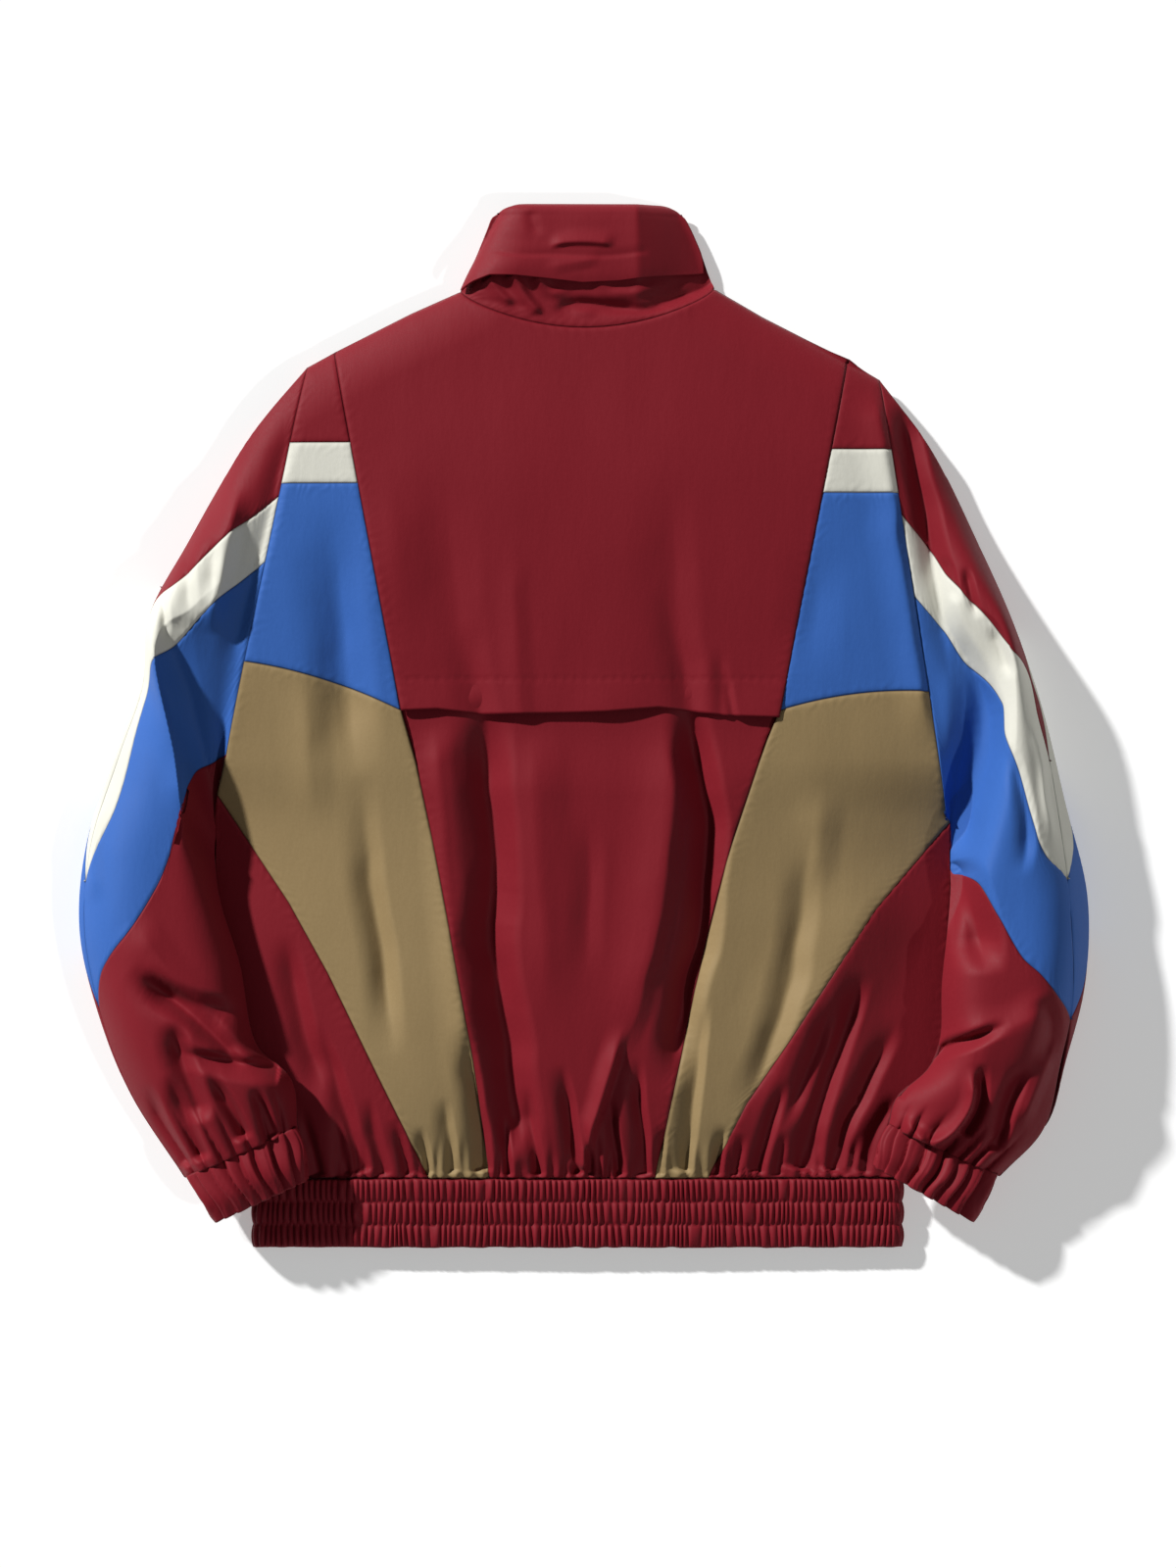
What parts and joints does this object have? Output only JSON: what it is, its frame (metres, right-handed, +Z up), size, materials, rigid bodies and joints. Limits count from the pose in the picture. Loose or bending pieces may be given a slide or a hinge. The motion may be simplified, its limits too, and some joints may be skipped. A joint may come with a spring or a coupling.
{
  "type": "windbreaker jacket",
  "caption": "Colour-blocked windbreaker jacket with stand collar, back vent, elastic hem and cuffs, laid flat with its back up.",
  "frame": {"origin": "on the surface it lies on, under the middle of its bounding box", "axes": "+Y towards the collar, +Z up off the surface, +X to the right seen from above"},
  "size_m": [0.7413, 0.7685, 0.0657],
  "materials": {
    "burgundy_cloth": "matt woven",
    "cream_cloth": "matt woven",
    "blue_cloth": "matt woven",
    "khaki_cloth": "matt woven",
    "zip_metal": "painted satin"
  },
  "bodies": {
    "root": {"back_yoke": "burgundy_cloth", "back_lower": "burgundy_cloth", "left_back_shoulder": "burgundy_cloth", "left_back_stripe": "cream_cloth", "left_back_blue": "blue_cloth", "left_back_khaki": "khaki_cloth", "left_back_side": "burgundy_cloth", "right_back_shoulder": "burgundy_cloth", "right_back_stripe": "cream_cloth", "right_back_blue": "blue_cloth", "right_back_khaki": "khaki_cloth", "right_back_side": "burgundy_cloth", "left_front": "burgundy_cloth", "right_front": "burgundy_cloth", "left_sleeve_back_cap": "burgundy_cloth", "left_sleeve_back_stripe": "cream_cloth", "left_sleeve_back_blue": "blue_cloth", "left_sleeve_back_lower": "burgundy_cloth", "left_sleeve_front_cap": "burgundy_cloth", "left_sleeve_front_stripe": "cream_cloth", "left_sleeve_front_blue": "blue_cloth", "left_sleeve_front_lower": "burgundy_cloth", "right_sleeve_back_cap": "burgundy_cloth", "right_sleeve_back_stripe": "cream_cloth", "right_sleeve_back_blue": "blue_cloth", "right_sleeve_back_lower": "burgundy_cloth", "right_sleeve_front_cap": "burgundy_cloth", "right_sleeve_front_stripe": "cream_cloth", "right_sleeve_front_blue": "blue_cloth", "right_sleeve_front_lower": "burgundy_cloth", "left_cuff": "burgundy_cloth", "right_cuff": "burgundy_cloth", "hem_band": "burgundy_cloth", "collar_stand": "burgundy_cloth", "collar_flap": "burgundy_cloth", "front_zip": "burgundy_cloth", "zip_slider": "zip_metal"}
  },
  "joints": []
}
